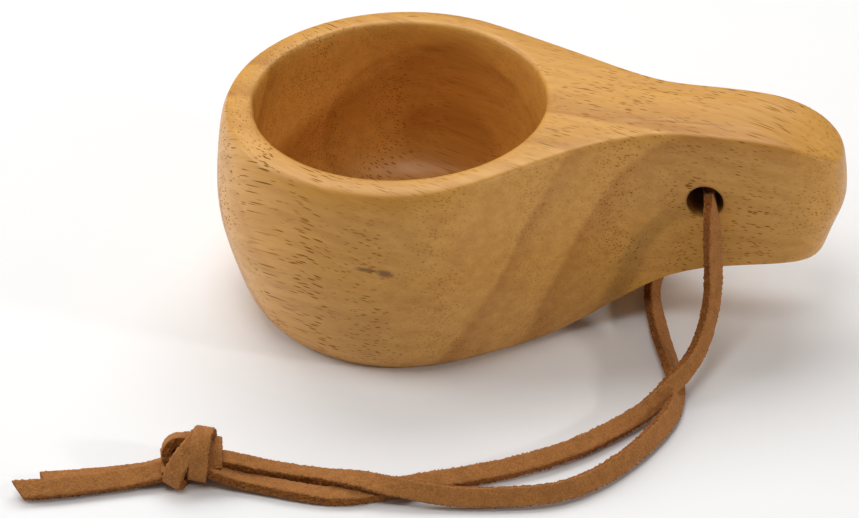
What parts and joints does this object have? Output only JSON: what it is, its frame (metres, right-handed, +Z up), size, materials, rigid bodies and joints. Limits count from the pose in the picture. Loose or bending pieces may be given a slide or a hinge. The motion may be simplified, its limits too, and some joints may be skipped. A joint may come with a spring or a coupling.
{
  "type": "kuksa wooden cup",
  "caption": "Round carved wooden drinking cup with a short thick handle, drilled across for a knotted flat leather carrying lace that lies beside it.",
  "frame": {"origin": "centre of the flat foot, on the bowl's axis, at the level that the cup and its lace stand on", "axes": "+X from the bowl along the handle to its tip, +Z up through the mouth, the lace lies on the -Y side"},
  "size_m": [0.1748, 0.1347, 0.052],
  "materials": {
    "wood": "oiled light hardwood",
    "lace": "brown suede lace"
  },
  "bodies": {
    "root": {"cup_body": "wood", "lace_near_leg": "lace", "lace_far_leg": "lace", "lace_knot": "lace", "lace_upper_tail": "lace", "lace_lower_tail": "lace"}
  },
  "joints": []
}
